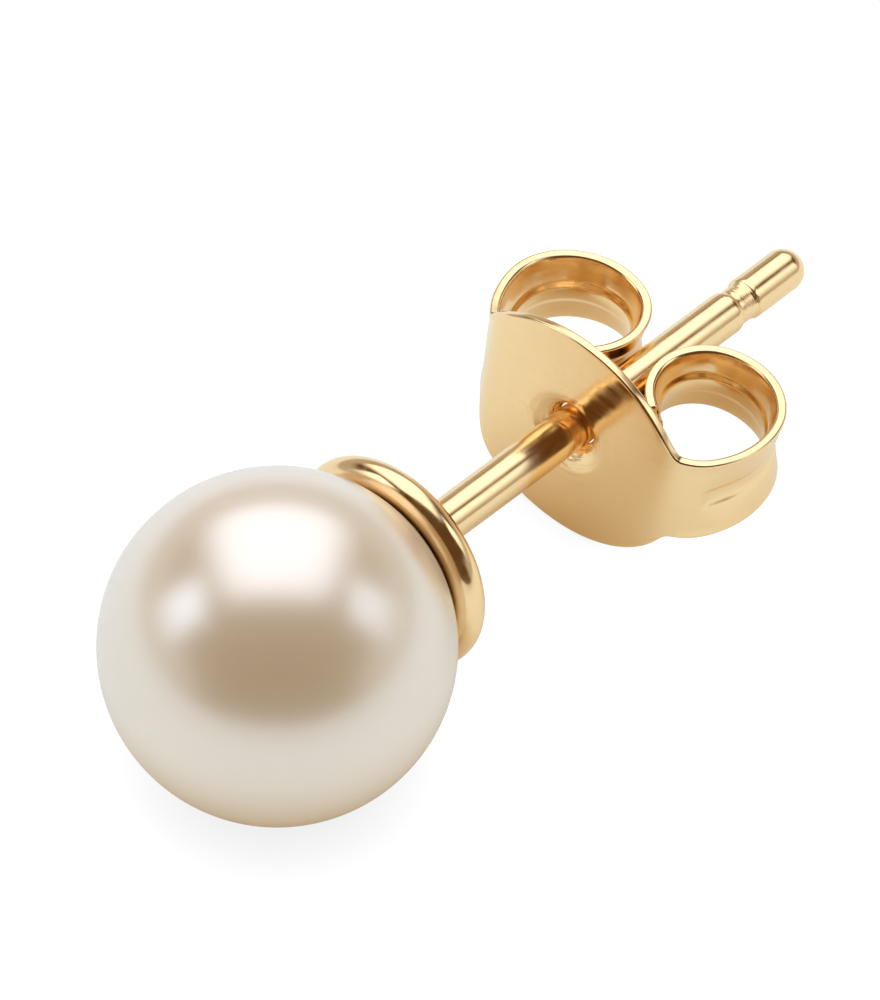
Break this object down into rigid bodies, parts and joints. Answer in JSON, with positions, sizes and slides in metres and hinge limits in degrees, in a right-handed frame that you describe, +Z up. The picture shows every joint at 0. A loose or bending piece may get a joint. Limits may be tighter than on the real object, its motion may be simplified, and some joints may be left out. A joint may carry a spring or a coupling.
{
  "type": "pearl stud earring",
  "caption": "Round pearl in a polished gold bead-rimmed cup on a straight notched ear post, with a sliding butterfly friction back rolled from sheet, lying unworn.",
  "frame": {"origin": "on the surface the earring lies on, midway between the pearl's front and the post's tip, under the post", "axes": "+Z up, +Y along the ear post from the pearl towards the tip, seen from above, +X to the side"},
  "size_m": [0.007, 0.019, 0.007],
  "materials": {
    "pearl_nacre": "polished cream-white nacre with a soft satin lustre",
    "gold": "polished yellow gold",
    "gold_sheet": "polished yellow gold sheet, stamped and rolled"
  },
  "bodies": {
    "stud": {"pearl": "pearl_nacre", "cup_and_post": "gold"},
    "clutch": {"butterfly_clutch": "gold_sheet"}
  },
  "joints": [
    {"name": "clutch_slide", "type": "slide", "parent": "stud", "child": "clutch", "axis": [0, 0.9927, -0.1203], "range_m": [-0.0035, 0.0075]}
  ]
}
